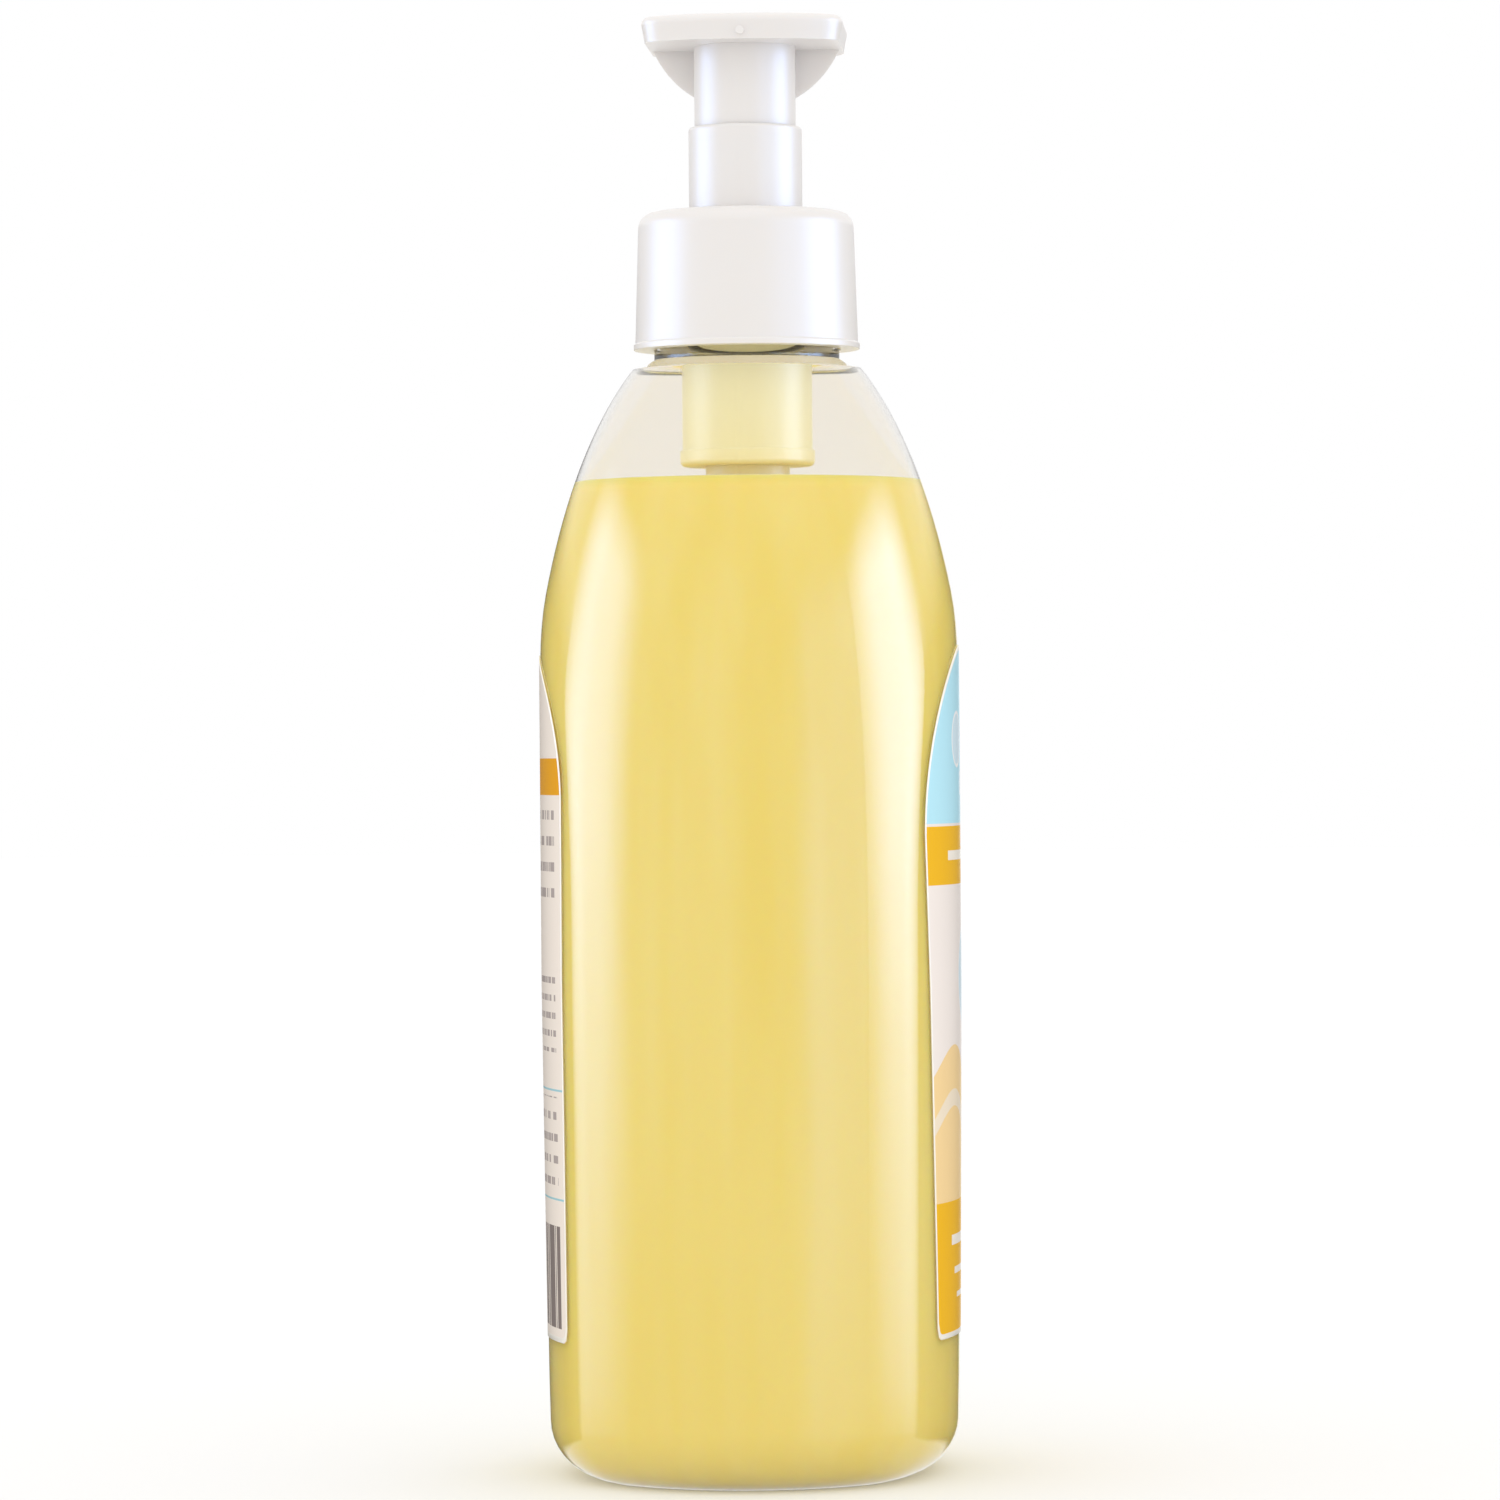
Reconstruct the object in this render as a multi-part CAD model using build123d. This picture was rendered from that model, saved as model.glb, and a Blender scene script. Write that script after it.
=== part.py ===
from build123d import *
from math import acos, atan2, cos, degrees, pi, sin, sqrt
import os

# Hand soap bottle with a lotion pump: a blown oval bottle, its soap, two labels and a screw-on pump.
# Millimetres. +Z is up and the origin is the centre of the foot. The front label faces -Y and the
# spout points to +X. The pump is drawn with its head up.

# Bottle body
body_width = 74.0        # across the two narrow sides, along X
body_round = 68.0        # depth of the oval along Y, before its label panels are flattened
body_depth = 62.2        # across the two label panels
panel_radius = 55.0      # bow of a label panel, seen from above
foot_draw = 0.7          # each side draws in this much from the shoulder down to the foot
shoulder_start = 72.6    # height at which the oval starts to close
shoulder_height = 91.3   # from there to the flare under the neck
shoulder_power = 2.8     # 2 is an ellipse, and more keeps the body full for longer
body_wall = 0.8
foot_wall = 1.4
foot_round = 8.0         # corner of the foot
heel_round = 8.5         # the same corner inside, where the wall is thicker
foot_ring = 11.0         # the ring it stands on ends this far in from the body's outline
push_up = 2.4            # rise of the hollow inside that ring
headspace = 17.3         # air between the soap and the top of the shoulder

# Labels
label_width = 44.0       # at the widest
label_foot = 20.6        # height of the lower edge
label_round = 1.5        # lower corners
label_thickness = 0.12
front_foot_width = 35.2  # the front label narrows down to this
front_arch_start = 94.6  # height at which its arched top starts
front_arch_rise = 28.0
back_foot_width = 43.2
back_arch_start = 99.6
back_arch_rise = 22.0

# Bottle neck and its thread
neck_flare = 3.3         # the shoulder's top is this much wider than the ring under the thread
flare_height = 1.5
neck_height = 17.7
neck_wall = 1.6
ring_height = 2.8
ring_stand = 1.2         # the ring stands out this much from the neck
thread_pitch = 4.23
thread_turns = 1.5
thread_depth = 1.1
thread_root = 2.0        # width of the ridge where it leaves the wall
thread_crest = 0.9       # width of the ridge at its top
thread_lead = 2.2        # from the lip down to the start of the thread

# Screw collar
collar_lift = 1.4        # lower edge above the foot of the neck
collar_wall = 2.0        # at the top of the wall
collar_draft = 0.6       # the wall spreads this much down to its lower edge
collar_lip = 0.25        # bead around the lower edge
collar_lip_height = 0.8
collar_top = 1.5
collar_crown = 0.3       # rise of the top towards its opening
collar_round = 2.3

# Pump stack on the neck
gasket_thickness = 0.8
housing_flange = 1.0
chaplet_flange = 1.0
flange_margin = 0.3      # the flanges stop short of the neck's outside

# Chaplet, the guide sleeve of the head
chaplet_wall = 0.6
chaplet_rise = 12.5      # above the collar
chaplet_sleeve = 4.3     # below its flange
chaplet_floor = 1.5
chaplet_round = 0.5

# Pump head
skirt_diameter = 15.1
skirt_wall = 1.2
stroke = 9.0
head_gap = 2.15          # left above the chaplet when the head is pressed
plate_width = 30.2
plate_back = 14.0        # from the pump's axis to the middle of the back edge
plate_bow = 3.5          # the back edge bows out by this much
plate_corner = 4.0       # rounding of the back corners seen from above
plate_thickness = 3.8
plate_draft = 0.7        # the plate's wall draws in this much towards its foot
plate_round = 1.0        # rounding of the top edge
plate_dish = 0.7         # depth of the finger rest
gate_diameter = 1.2      # mark of the mould's gate on the back edge
spout_start = 12.0       # from the pump's axis to where the plate narrows
spout_bend = 8.0         # rounding where it narrows
spout_reach = 33.0       # from the pump's axis to the tip
spout_tip = 5.0          # radius of the tip seen from above
hull_start = 5.0         # the spout's body starts behind the skirt, this far from the axis
hull_depth = 9.1         # depth of that body under the plate, at its start
hull_tip_depth = 4.2
hull_margin = 0.5        # it stays inside the plate's foot
channel_diameter = 2.8
channel_floor = 0.5
channel_roof = 1.3
boss_wall = 1.2

# Stem, piston and spring
stem_diameter = 8.0
stem_bore = 4.6
stem_seat = 1.0          # land above the stem's end in the head
stop_thickness = 1.6
stop_margin = 0.4        # the stop flange covers the spring by this much
journal_diameter = 6.2   # where the piston slides
piston_wall = 1.45
piston_lip = 0.55
piston_lip_height = 1.2
piston_length = 6.0
piston_float = 1.0
piston_depth = 3.0       # top of the piston below the cup's floor
port_diameter = 1.0
plug_length = 5.0
plug_flat = 2.6          # width of the flat-sided plug
seat_thickness = 1.5
spring_wire = 1.1
spring_turns = 7.0

# Pump housing
cup_depth = 34.1
cup_wall = 1.2
cup_floor = 1.5
bead_stand = 0.35
bead_height = 2.4
barrel_wall = 1.1
barrel_length = 34.0
chamber_wall = 1.1
ball_diameter = 5.2
ball_lift = 1.5
cage_ribs = 3
cage_rib_width = 1.0
cage_rib_height = 1.6
inlet_diameter = 2.8
inlet_length = 1.2
socket_depth = 8.0
socket_wall = 1.1
tube_diameter = 5.6
tube_wall = 0.8
tube_foot = 3.0          # gap between the tube's end and the bottle's floor
tube_bevel = 20.0        # degrees, slant of the tube's end

# Clearances
running = 0.05           # between pieces that turn or slide in each other
seat_gap = 0.02          # between pieces that are stuck or pressed together
free = 0.3               # between pieces that pass each other
neck_clearance = 1.3     # cup in the neck
ball_clearance = 0.6     # ball in its chamber
liquid_gap = 0.06        # soap and the walls around it

# Radii, worked out from the skirt of the head outwards
skirt_radius = skirt_diameter / 2
chaplet_bore = skirt_radius + free
chaplet_radius = chaplet_bore + chaplet_wall
cup_bore = chaplet_radius + running
cup_radius = cup_bore + cup_wall
neck_bore = cup_radius + neck_clearance
neck_radius = neck_bore + neck_wall
ring_radius = neck_radius + ring_stand
shoulder_radius = ring_radius + neck_flare
flange_radius = neck_radius - flange_margin
collar_opening = chaplet_radius + free
collar_bore = neck_radius + thread_depth + free
collar_top_radius = collar_bore + collar_wall
collar_foot_radius = collar_top_radius + collar_draft

# Radii, worked out from the stem outwards
stem_radius = stem_diameter / 2
journal_radius = journal_diameter / 2
piston_bore = journal_radius + running
piston_radius = piston_bore + piston_wall
barrel_bore = piston_radius + piston_lip + running
barrel_radius = barrel_bore + barrel_wall
spring_inner = barrel_bore + free
spring_radius = spring_inner + spring_wire / 2
stop_radius = spring_inner + spring_wire + stop_margin
ball_radius = ball_diameter / 2
chamber_bore = ball_radius + ball_clearance
chamber_radius = chamber_bore + chamber_wall
tube_radius = tube_diameter / 2
socket_bore = tube_radius + seat_gap
socket_radius = socket_bore + socket_wall

# Heights, from the foot up to the head
shoulder_top = shoulder_start + shoulder_height
neck_foot = shoulder_top + flare_height
neck_top = neck_foot + neck_height
flange_foot = neck_top + gasket_thickness
flange_top = flange_foot + housing_flange
chaplet_shelf = flange_top + chaplet_flange
collar_inside = chaplet_shelf + running
collar_height = collar_inside + collar_top
collar_foot = neck_foot + collar_lift
chaplet_top = collar_height + chaplet_rise
chaplet_foot = flange_top - chaplet_sleeve
pocket_roof = chaplet_top + stroke + head_gap
head_top = pocket_roof + channel_floor + channel_diameter + channel_roof
plate_foot = head_top - plate_thickness
channel_height = pocket_roof + channel_floor + channel_diameter / 2
skirt_foot = chaplet_foot + chaplet_floor + stroke + free

# Heights, from the flange down to the dip tube
stop_top = chaplet_foot - seat_gap
stop_foot = stop_top - stop_thickness
cup_foot = flange_top - cup_depth
piston_top = cup_foot - piston_depth
piston_foot = piston_top - piston_length
stem_shoulder = piston_top + piston_float + running
stem_foot = piston_foot - running
stem_top = pocket_roof - stem_seat
barrel_foot = cup_foot - barrel_length
seat_rise = ball_radius * sqrt(2) - inlet_diameter / 2
cone_height = chamber_bore - inlet_diameter / 2
ball_reach = seat_rise + ball_radius + ball_lift + 2 * free
chamber_length = ball_reach + cage_rib_height
seat_height = barrel_foot - chamber_length
ball_height = seat_height + seat_rise + free
socket_top = seat_height - inlet_length
socket_foot = socket_top - socket_depth
tube_end = push_up + foot_wall + tube_foot
soap_level = shoulder_top - headspace


def turned(*corners):
    """Solid of revolution about Z. Each corner is (radius, height) or (radius, height, rounding)."""
    points = [(corner[0], 0, corner[1]) for corner in corners]
    rounding = [corner[2] if len(corner) == 3 else 0 for corner in corners]
    outline = FilletPolyline(*points, radius=rounding, close=True)
    return revolve(make_face(outline), Axis.Z)


def ring(inner, outer, foot, top):
    """Plain ring or tube about Z."""
    return turned((inner, foot), (outer, foot), (outer, top), (inner, top))


def oval(height, inset):
    """Section of the body before its panels are flattened, drawn in by an inset."""
    sizes = []
    for half in (body_width / 2, body_round / 2):
        if height <= shoulder_start:
            size = half - foot_draw * (shoulder_start - height) / shoulder_start
        else:
            rise = (height - shoulder_start) / shoulder_height
            closing = (1 - (shoulder_radius / half) ** 2) * rise**shoulder_power
            size = half * sqrt(1 - closing)
        sizes.append(size - inset)
    return Pos(0, 0, height) * Ellipse(*sizes)


def panel_form(inset):
    """Upright lens whose two bowed faces are the label panels, drawn in by an inset."""
    reach = body_width / 2 + label_thickness
    radius = panel_radius - inset
    sections = []
    for height, draw in ((0, foot_draw), (shoulder_start, 0), (shoulder_top, 0)):
        crown = body_depth / 2 - draw - inset
        end = crown - radius + sqrt(radius**2 - reach**2)
        outline = [
            ThreePointArc((reach, end), (0, crown), (-reach, end)),
            Line((-reach, end), (-reach, -end)),
            ThreePointArc((-reach, -end), (0, -crown), (reach, -end)),
            Line((reach, -end), (reach, end)),
        ]
        sections.append(Pos(0, 0, height) * make_face(outline))
    return loft(sections, ruled=True)


def body_form(inset, floor, rounding):
    """The body from its floor to the top of the shoulder, drawn in by an inset."""
    straight = loft([oval(floor, inset), oval(shoulder_start, inset)], ruled=True)
    steps = 8
    heights = [shoulder_start + shoulder_height * sin(step / steps * pi / 2) for step in range(steps + 1)]
    dome = loft([oval(height, inset) for height in heights])
    form = (straight + dome) & panel_form(inset)
    return fillet(form.edges().group_by(Axis.Z)[0], rounding)


def push_up_form(grow):
    """Flat dome under the foot, grown by the floor's thickness for the inside."""
    margin = foot_draw + foot_ring - grow
    sizes = body_width / 2 - margin, body_depth / 2 - margin, push_up + grow
    return scale(Sphere(1), by=sizes)


def thread(wall, depth, start):
    """One helical ridge on a wall of that radius. A negative depth stands inwards."""
    inside = -depth / 4
    root, crest = thread_root / 2, thread_crest / 2
    profile = Polyline(
        (wall + inside, 0, -root),
        (wall + depth, 0, -crest),
        (wall + depth, 0, crest),
        (wall + inside, 0, root),
        close=True,
    )
    path = Helix(thread_pitch, thread_pitch * thread_turns, wall)
    ridge = sweep(make_face(profile), path=path, is_frenet=True)
    return Pos(0, 0, start - thread_pitch * thread_turns) * ridge


def bottle():
    outside = body_form(0, 0, foot_round)
    outside += turned(
        (0, shoulder_top),
        (shoulder_radius, shoulder_top),
        (ring_radius, neck_foot, flare_height / 2),
        (ring_radius, neck_foot + ring_height, ring_stand / 4),
        (neck_radius, neck_foot + ring_height),
        (neck_radius, neck_top, neck_wall / 4),
        (0, neck_top),
    )
    outside += thread(neck_radius, thread_depth, neck_top - thread_lead)
    inside = body_form(body_wall, foot_wall, heel_round) - push_up_form(foot_wall)
    inside += turned(
        (0, shoulder_top),
        (shoulder_radius - body_wall, shoulder_top),
        (neck_bore, neck_foot + flare_height),
        (neck_bore, neck_top),
        (0, neck_top),
    )
    return outside - inside - push_up_form(0)


def soap_fill():
    floor = foot_wall + liquid_gap
    soap = body_form(body_wall + liquid_gap, floor, heel_round - liquid_gap) - push_up_form(floor)
    air = Pos(0, 0, soap_level) * Box(
        body_width, body_depth, shoulder_top, align=(Align.CENTER, Align.CENTER, Align.MIN)
    )
    pump = turned(
        (0, tube_end - free),
        (tube_radius + free, tube_end - free),
        (tube_radius + free, socket_foot - free),
        (socket_radius + free, socket_foot - free),
        (socket_radius + free, seat_height - free),
        (chamber_radius + free, seat_height - free),
        (chamber_radius + free, barrel_foot - barrel_wall - free),
        (barrel_radius + free, barrel_foot - barrel_wall - free),
        (barrel_radius + free, cup_foot - cup_floor - free),
        (cup_radius + bead_stand + free, cup_foot - cup_floor - free),
        (cup_radius + bead_stand + free, neck_top),
        (0, neck_top),
    )
    return soap - air - pump


def label(side, foot_width, arch_start, arch_rise):
    """Printed film on one panel, with an arched top. Side is -1 for the front and 1 for the back."""
    film = panel_form(-seat_gap - label_thickness) - panel_form(-seat_gap)
    half, foot_half = label_width / 2, foot_width / 2
    lower = FilletPolyline(
        (half, arch_start), (foot_half, label_foot), (-foot_half, label_foot), (-half, arch_start),
        radius=label_round,
    )
    arch = EllipticalCenterArc((0, arch_start), half, arch_rise, arc_size=180)
    outline = Plane.XZ * make_face([*lower.edges(), *arch.edges()])
    return film & extrude(outline, side * body_depth, dir=(0, 1, 0))


def front_label():
    return label(-1, front_foot_width, front_arch_start, front_arch_rise)


def back_label():
    return label(1, back_foot_width, back_arch_start, back_arch_rise)


def screw_collar():
    wall = turned(
        (collar_opening, collar_inside),
        (collar_bore, collar_inside),
        (collar_bore, collar_foot),
        (collar_foot_radius + collar_lip, collar_foot, collar_lip / 2),
        (collar_foot_radius + collar_lip, collar_foot + collar_lip_height, collar_lip / 4),
        (collar_foot_radius, collar_foot + collar_lip_height + collar_lip),
        (collar_top_radius, collar_height - collar_crown, collar_round),
        (collar_opening, collar_height),
    )
    start = neck_top - thread_lead - thread_pitch / 2
    return wall + thread(collar_bore, -thread_depth, start)


def gasket():
    return ring(neck_bore, flange_radius, neck_top, flange_foot)


def pump_housing():
    outside = turned(
        (0, socket_foot),
        (socket_radius, socket_foot),
        (socket_radius, seat_height),
        (chamber_radius, seat_height),
        (chamber_radius, barrel_foot - barrel_wall),
        (barrel_radius, barrel_foot - barrel_wall),
        (barrel_radius, cup_foot - cup_floor),
        (cup_radius + bead_stand, cup_foot - cup_floor, bead_height / 3),
        (cup_radius + bead_stand, cup_foot - cup_floor + bead_height, bead_stand / 2),
        (cup_radius, cup_foot - cup_floor + bead_height),
        (cup_radius, flange_foot),
        (flange_radius, flange_foot),
        (flange_radius, flange_top),
        (0, flange_top),
    )
    inside = turned(
        (0, seat_height),
        (inlet_diameter / 2, seat_height),
        (chamber_bore, seat_height + cone_height),
        (chamber_bore, barrel_foot),
        (barrel_bore, barrel_foot),
        (barrel_bore, cup_foot),
        (cup_bore, cup_foot),
        (cup_bore, flange_top),
        (0, flange_top),
    )
    inlet = turned(
        (0, socket_foot),
        (socket_bore, socket_foot),
        (socket_bore, socket_top),
        (inlet_diameter / 2, socket_top),
        (inlet_diameter / 2, seat_height),
        (0, seat_height),
    )
    reach = (ball_radius + chamber_radius) / 2
    rib_box = Box(
        ball_radius + chamber_wall, cage_rib_width, cage_rib_height,
        align=(Align.CENTER, Align.CENTER, Align.MIN),
    )
    rib = Pos(reach, 0, seat_height + ball_reach) * rib_box
    cage = (Part() + PolarLocations(0, cage_ribs) * rib) & outside
    return outside - inside - inlet + cage


def chaplet():
    return turned(
        (chaplet_bore, chaplet_top, chaplet_wall / 4),
        (chaplet_radius, chaplet_top, chaplet_round),
        (chaplet_radius, chaplet_shelf),
        (flange_radius, chaplet_shelf),
        (flange_radius, flange_top),
        (chaplet_radius, flange_top),
        (chaplet_radius, chaplet_foot),
        (stem_radius + running, chaplet_foot),
        (stem_radius + running, chaplet_foot + chaplet_floor),
        (chaplet_bore, chaplet_foot + chaplet_floor),
    )


def dip_tube():
    tube = ring(tube_radius - tube_wall, tube_radius, tube_end, socket_top)
    waste = Box(
        4 * tube_diameter, 4 * tube_diameter, 2 * tube_diameter,
        align=(Align.CENTER, Align.CENTER, Align.MAX),
    )
    return tube - Pos(0, 0, tube_end) * Rot(0, tube_bevel, 0) * waste


def inlet_ball():
    return Pos(0, 0, ball_height) * Sphere(ball_radius)


def return_spring():
    length = stop_foot - cup_foot - spring_wire - 2 * seat_gap
    path = Helix(length / spring_turns, length, spring_radius)
    wire = Plane(path @ 0, z_dir=path % 0) * Circle(spring_wire / 2)
    return Pos(0, 0, cup_foot + spring_wire / 2 + seat_gap) * sweep(wire, path=path, is_frenet=True)


def stem():
    rod = turned(
        (stem_bore / 2, stem_top),
        (stem_radius, stem_top),
        (stem_radius, stop_top),
        (stop_radius, stop_top),
        (stop_radius, stop_foot),
        (stem_radius, stop_foot),
        (stem_radius, stem_shoulder),
        (journal_radius, stem_shoulder),
        (journal_radius, stem_foot),
        (stem_bore / 2, stem_foot),
    )
    port = Rot(90, 0, 0) * Cylinder(port_diameter / 2, stem_diameter)
    return rod - Pos(0, 0, piston_foot + port_diameter / 2) * port


def piston():
    lip_radius = piston_radius + piston_lip
    return turned(
        (piston_bore, piston_foot),
        (lip_radius, piston_foot),
        (lip_radius, piston_foot + piston_lip_height / 2),
        (piston_radius, piston_foot + piston_lip_height),
        (piston_radius, piston_top - piston_lip_height),
        (lip_radius, piston_top - piston_lip_height / 2),
        (lip_radius, piston_top),
        (piston_bore, piston_top),
    )


def piston_seat():
    foot = stem_foot - seat_gap
    disc = ring(0, piston_radius, foot - seat_thickness, foot)
    plug = ring(0, stem_bore / 2 - seat_gap, foot, foot + plug_length)
    return disc + (plug & Box(stem_bore, plug_flat, 2 * head_top))


def plate_outline():
    """Foot of the press plate from above: a bowed back, straight sides and a taper to the spout's tip."""
    half = plate_width / 2 - plate_draft
    back = plate_draft - plate_back
    radius = spout_tip - plate_draft
    centre = Vector(spout_reach - spout_tip, 0)
    corner = Vector(back + plate_bow, half)
    bend = Vector(spout_start, half)
    reach = bend - centre
    turn = atan2(reach.Y, reach.X) - acos(radius / reach.length)
    tip = centre + Vector(cos(turn), sin(turn)) * radius
    far_corner, far_bend, far_tip = (Vector(point.X, -point.Y) for point in (corner, bend, tip))
    outline = make_face(
        [
            ThreePointArc(far_corner, (back, 0), corner),
            Line(corner, bend),
            Line(bend, tip),
            ThreePointArc(tip, centre + Vector(radius, 0), far_tip),
            Line(far_tip, far_bend),
            Line(far_bend, far_corner),
        ]
    )
    outline = fillet(outline.vertices().sort_by(Axis.X)[:2], plate_corner)
    bends = outline.vertices().filter_by_position(Axis.X, spout_start - free, spout_start + free)
    return fillet(bends, spout_bend)


def hull_section(x, half_width, depth):
    """Rounded channel section of the spout, hanging from the plate."""
    left, right = (x, half_width, plate_foot), (x, -half_width, plate_foot)
    bow = ThreePointArc(left, (x, 0, plate_foot - depth), right)
    return make_face([bow, Line(right, left)])


def pump_head():
    taper = degrees(atan2(plate_draft, plate_thickness))
    plate = Pos(0, 0, plate_foot) * extrude(plate_outline(), plate_thickness, taper=-taper)
    plate = fillet(plate.edges().group_by(Axis.Z)[-1], plate_round)
    rest_radius = plate_back - 2 * plate_round
    rest_curve = (rest_radius**2 + plate_dish**2) / (2 * plate_dish)
    plate -= Pos(0, 0, head_top - plate_dish + rest_curve) * Sphere(rest_curve)
    plate += Pos(-plate_back, 0, plate_foot + gate_diameter) * Rot(0, 90, 0) * Cylinder(
        gate_diameter / 2, plate_bow, align=(Align.CENTER, Align.CENTER, Align.MIN)
    )
    tip = spout_reach - spout_tip
    margin = plate_draft + hull_margin
    hull = loft(
        [
            hull_section(hull_start, plate_width / 2 - margin, hull_depth),
            hull_section(spout_reach - 2 * margin, spout_tip - 2 * margin, hull_tip_depth),
        ]
    )
    pocket = ring(0, chaplet_radius + free, skirt_foot, pocket_roof)
    skirt = ring(skirt_radius - skirt_wall, skirt_radius, skirt_foot, plate_foot)
    socket = stem_radius + running
    boss = ring(socket, socket + boss_wall, skirt_foot, stem_top + running)
    boss += ring(channel_diameter / 2, socket + boss_wall, stem_top + running, plate_foot)
    channel = Pos(0, 0, channel_height) * Rot(0, 90, 0) * Cylinder(
        channel_diameter / 2, tip, align=(Align.CENTER, Align.CENTER, Align.MIN)
    )
    riser = ring(0, channel_diameter / 2, stem_top, channel_height)
    outlet = Pos(tip, 0, 0) * ring(0, channel_diameter / 2, plate_foot - 2 * hull_depth, channel_height)
    return plate + hull - pocket + skirt + boss - channel - riser - outlet


PIECES = {
    "bottle": bottle,
    "soap_fill": soap_fill,
    "front_label": front_label,
    "back_label": back_label,
    "screw_collar": screw_collar,
    "gasket": gasket,
    "pump_housing": pump_housing,
    "chaplet": chaplet,
    "dip_tube": dip_tube,
    "inlet_ball": inlet_ball,
    "return_spring": return_spring,
    "stem": stem,
    "piston": piston,
    "piston_seat": piston_seat,
    "pump_head": pump_head,
}

os.makedirs("parts", exist_ok=True)
for name, make in PIECES.items():
    export_step(make(), f"parts/{name}.step")
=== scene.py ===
# %% [markdown]
# # A hand soap bottle with a lotion pump
# The bottle is blown from clear PET and filled with a pearly yellow soap. A white polypropylene pump is
# screwed onto its neck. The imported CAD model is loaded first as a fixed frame: it says where every piece is
# and which pieces move together. Blender then gives the pieces that show their finished surfaces.

import math

import bmesh
import bpy
from mathutils import Matrix, Vector


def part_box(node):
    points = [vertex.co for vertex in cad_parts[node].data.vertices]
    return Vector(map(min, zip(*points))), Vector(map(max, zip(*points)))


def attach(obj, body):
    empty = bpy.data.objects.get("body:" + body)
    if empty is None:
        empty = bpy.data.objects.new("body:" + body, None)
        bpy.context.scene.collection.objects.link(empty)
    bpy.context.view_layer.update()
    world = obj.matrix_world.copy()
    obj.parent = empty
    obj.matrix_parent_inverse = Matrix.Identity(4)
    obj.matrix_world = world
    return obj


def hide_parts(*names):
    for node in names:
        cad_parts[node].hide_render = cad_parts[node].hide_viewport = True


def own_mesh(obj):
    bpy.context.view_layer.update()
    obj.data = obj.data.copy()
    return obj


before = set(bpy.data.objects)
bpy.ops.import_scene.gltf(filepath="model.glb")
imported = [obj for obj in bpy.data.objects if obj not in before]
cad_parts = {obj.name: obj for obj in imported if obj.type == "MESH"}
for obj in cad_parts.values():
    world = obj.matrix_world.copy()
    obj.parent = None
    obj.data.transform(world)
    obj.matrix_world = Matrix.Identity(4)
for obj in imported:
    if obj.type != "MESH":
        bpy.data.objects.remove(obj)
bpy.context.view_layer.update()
MM = 0.001
print("nodes:", sorted(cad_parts))

# %% [markdown]
# ## Colour and nodes
# Colours are written as the sRGB hex values that a paint program shows. Cycles works in linear light, so one
# function turns them over. A second function adds a shader node, sets its fields and makes its links.


# %% Two helpers for materials
def linear(code):
    """Linear RGBA of an sRGB hex colour."""
    parts = [int(code[i:i + 2], 16) / 255 for i in (1, 3, 5)]
    return [p / 12.92 if p <= 0.04045 else ((p + 0.055) / 1.055) ** 2.4 for p in parts] + [1.0]


def node(tree, kind, inputs=None, **settings):
    """Adds a node. Inputs are sockets to link or values to set, by name or number."""
    made = tree.nodes.new(kind)
    for name, value in settings.items():
        setattr(made, name, value)
    for name, value in (inputs or {}).items():
        if isinstance(value, bpy.types.NodeSocket):
            tree.links.new(value, made.inputs[name])
        else:
            made.inputs[name].default_value = value
    return made


def new_material(name):
    """An empty node material with its output, and the object's own coordinates in metres."""
    material = bpy.data.materials.new(name)
    material.use_nodes = True
    tree = material.node_tree
    tree.nodes.clear()
    output = node(tree, "ShaderNodeOutputMaterial")
    place = node(tree, "ShaderNodeTexCoord").outputs["Object"]
    return material, tree, output, place


def per_metre(size_mm):
    """Texture scale at which one cell of a pattern is about this many millimetres wide."""
    return 1 / (size_mm * MM)


# %% [markdown]
# ## Clear PET
# Blown PET is a clear, hard plastic. Its skin is smooth, but the wall is never quite even, so reflections
# waver a little. A glass shader holds back the light of the room, which would leave the soap in the dark, so
# shadow rays and diffuse rays pass straight through, as they nearly do through a wall this thin.


# %% PET material
def make_clear_pet():
    material, tree, output, place = new_material("blown_pet")
    waver = node(tree, "ShaderNodeTexNoise", {"Vector": place, "Scale": per_metre(18), "Detail": 2.0})
    bump = node(tree, "ShaderNodeBump", {
        "Height": waver.outputs["Fac"], "Strength": 0.05, "Distance": 0.4 * MM})
    clear = node(tree, "ShaderNodeBsdfPrincipled", {
        "Base Color": linear("#F7F4EF"), "Roughness": 0.04, "IOR": 1.5, "Transmission Weight": 1.0,
        "Normal": bump.outputs["Normal"],
    })
    ray = node(tree, "ShaderNodeLightPath")
    passing = node(tree, "ShaderNodeMath", {
        0: ray.outputs["Is Shadow Ray"], 1: ray.outputs["Is Diffuse Ray"]}, operation="MAXIMUM")
    straight = node(tree, "ShaderNodeBsdfTransparent", {"Color": linear("#FEFEFD")})
    mix = node(tree, "ShaderNodeMixShader", {
        0: passing.outputs[0], 1: clear.outputs[0], 2: straight.outputs[0]})
    tree.links.new(mix.outputs[0], output.inputs["Surface"])
    return material


clear_pet = make_clear_pet()

# %% [markdown]
# ## Pearly soap
# The soap is a cloudy liquid: light goes in, scatters and comes out warmer, so it has no hard shading. The
# pearl in it hangs in faint upright streaks where the bottle was filled.


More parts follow.
